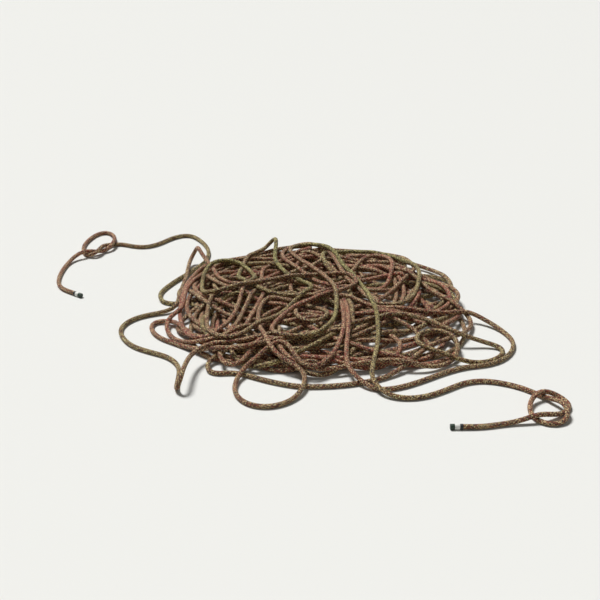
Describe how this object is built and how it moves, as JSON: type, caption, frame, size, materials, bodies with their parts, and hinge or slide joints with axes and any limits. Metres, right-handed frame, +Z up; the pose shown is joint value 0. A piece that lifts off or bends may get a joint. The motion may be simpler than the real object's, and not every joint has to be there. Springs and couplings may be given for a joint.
{
  "type": "dynamic climbing rope",
  "caption": "Kernmantle climbing rope flaked in a loose heap, both ends led out with an open overhand knot and a banded shrink-sleeved tip.",
  "frame": {"origin": "middle of the rope's outline on the ground it lies on", "axes": "+Z up, +X to the right and +Y away from the viewer, as the rope is pictured"},
  "size_m": [1.1028, 1.009, 0.0597],
  "materials": {
    "braided_sheath": "tight two-over-two braid of rust, olive, tan and dark brown yarns",
    "core_nylon": "laid white nylon strands",
    "marker_tape": "thin yellow core tape, unprinted",
    "black_shrink": "satin shrink sleeve",
    "white_shrink": "satin shrink sleeve, unprinted",
    "green_shrink": "satin dark green shrink sleeve",
    "fused_nylon": "melted and smoothed nylon"
  },
  "bodies": {
    "root": {"rope_heap": "braided_sheath", "left_free_run": "braided_sheath", "right_free_run": "braided_sheath", "left_sheath_end": "braided_sheath", "left_core_strand_1": "core_nylon", "left_core_strand_2": "core_nylon", "left_core_strand_3": "core_nylon", "left_core_strand_4": "core_nylon", "left_core_strand_5": "core_nylon", "left_core_strand_6": "core_nylon", "left_core_strand_7": "core_nylon", "left_core_strand_8": "core_nylon", "left_core_strand_9": "core_nylon", "left_core_strand_10": "core_nylon", "left_core_strand_11": "core_nylon", "left_marker_tape": "marker_tape", "left_black_band": "black_shrink", "left_white_band": "white_shrink", "left_green_end_band": "green_shrink", "left_fused_tip": "fused_nylon", "right_sheath_end": "braided_sheath", "right_core_strand_1": "core_nylon", "right_core_strand_2": "core_nylon", "right_core_strand_3": "core_nylon", "right_core_strand_4": "core_nylon", "right_core_strand_5": "core_nylon", "right_core_strand_6": "core_nylon", "right_core_strand_7": "core_nylon", "right_core_strand_8": "core_nylon", "right_core_strand_9": "core_nylon", "right_core_strand_10": "core_nylon", "right_core_strand_11": "core_nylon", "right_marker_tape": "marker_tape", "right_black_band": "black_shrink", "right_white_band": "white_shrink", "right_green_end_band": "green_shrink", "right_fused_tip": "fused_nylon"}
  },
  "joints": []
}
